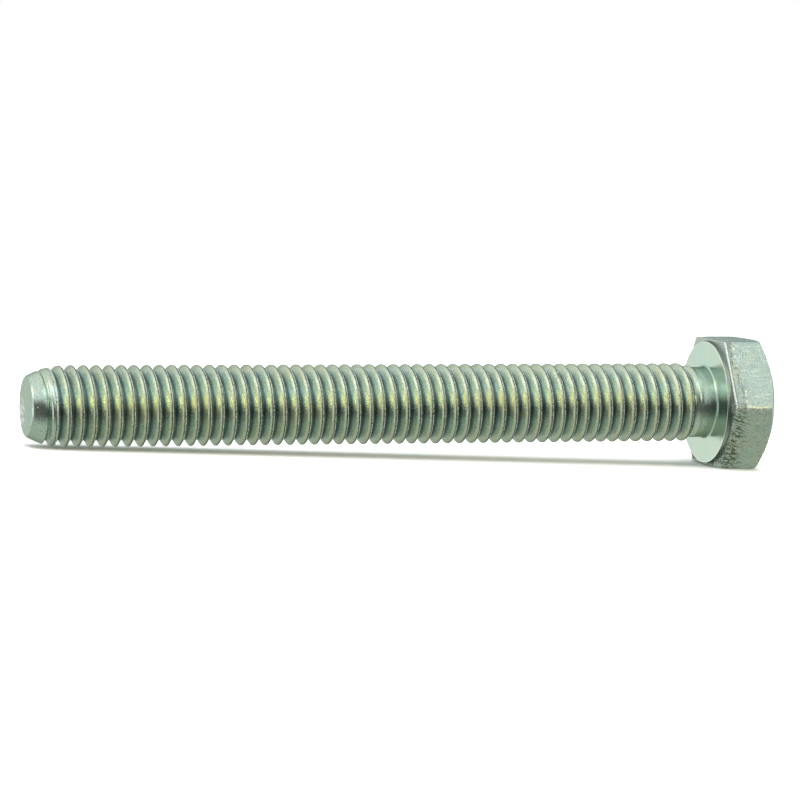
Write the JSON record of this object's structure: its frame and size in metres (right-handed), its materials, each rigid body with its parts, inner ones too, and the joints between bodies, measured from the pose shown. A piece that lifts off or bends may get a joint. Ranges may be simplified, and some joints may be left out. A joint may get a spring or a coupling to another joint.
{
  "type": "hex bolt",
  "caption": "Hexagon-head bolt with a right-hand metric thread over its whole shank, a plain neck under the head, a raised round bearing face and a coned flat point.",
  "frame": {"origin": "centre of the bearing face under the head, on the bolt's axis", "axes": "+X along the axis from the point to the head's top, +Z square to the head's upper flat, +Y square to both"},
  "size_m": [0.0753, 0.0148, 0.0128],
  "materials": {
    "zinc_plated_steel": "bright clear-passivated zinc plate, slightly green-grey"
  },
  "bodies": {
    "root": {"hex_head": "zinc_plated_steel", "threaded_shank": "zinc_plated_steel"}
  },
  "joints": []
}
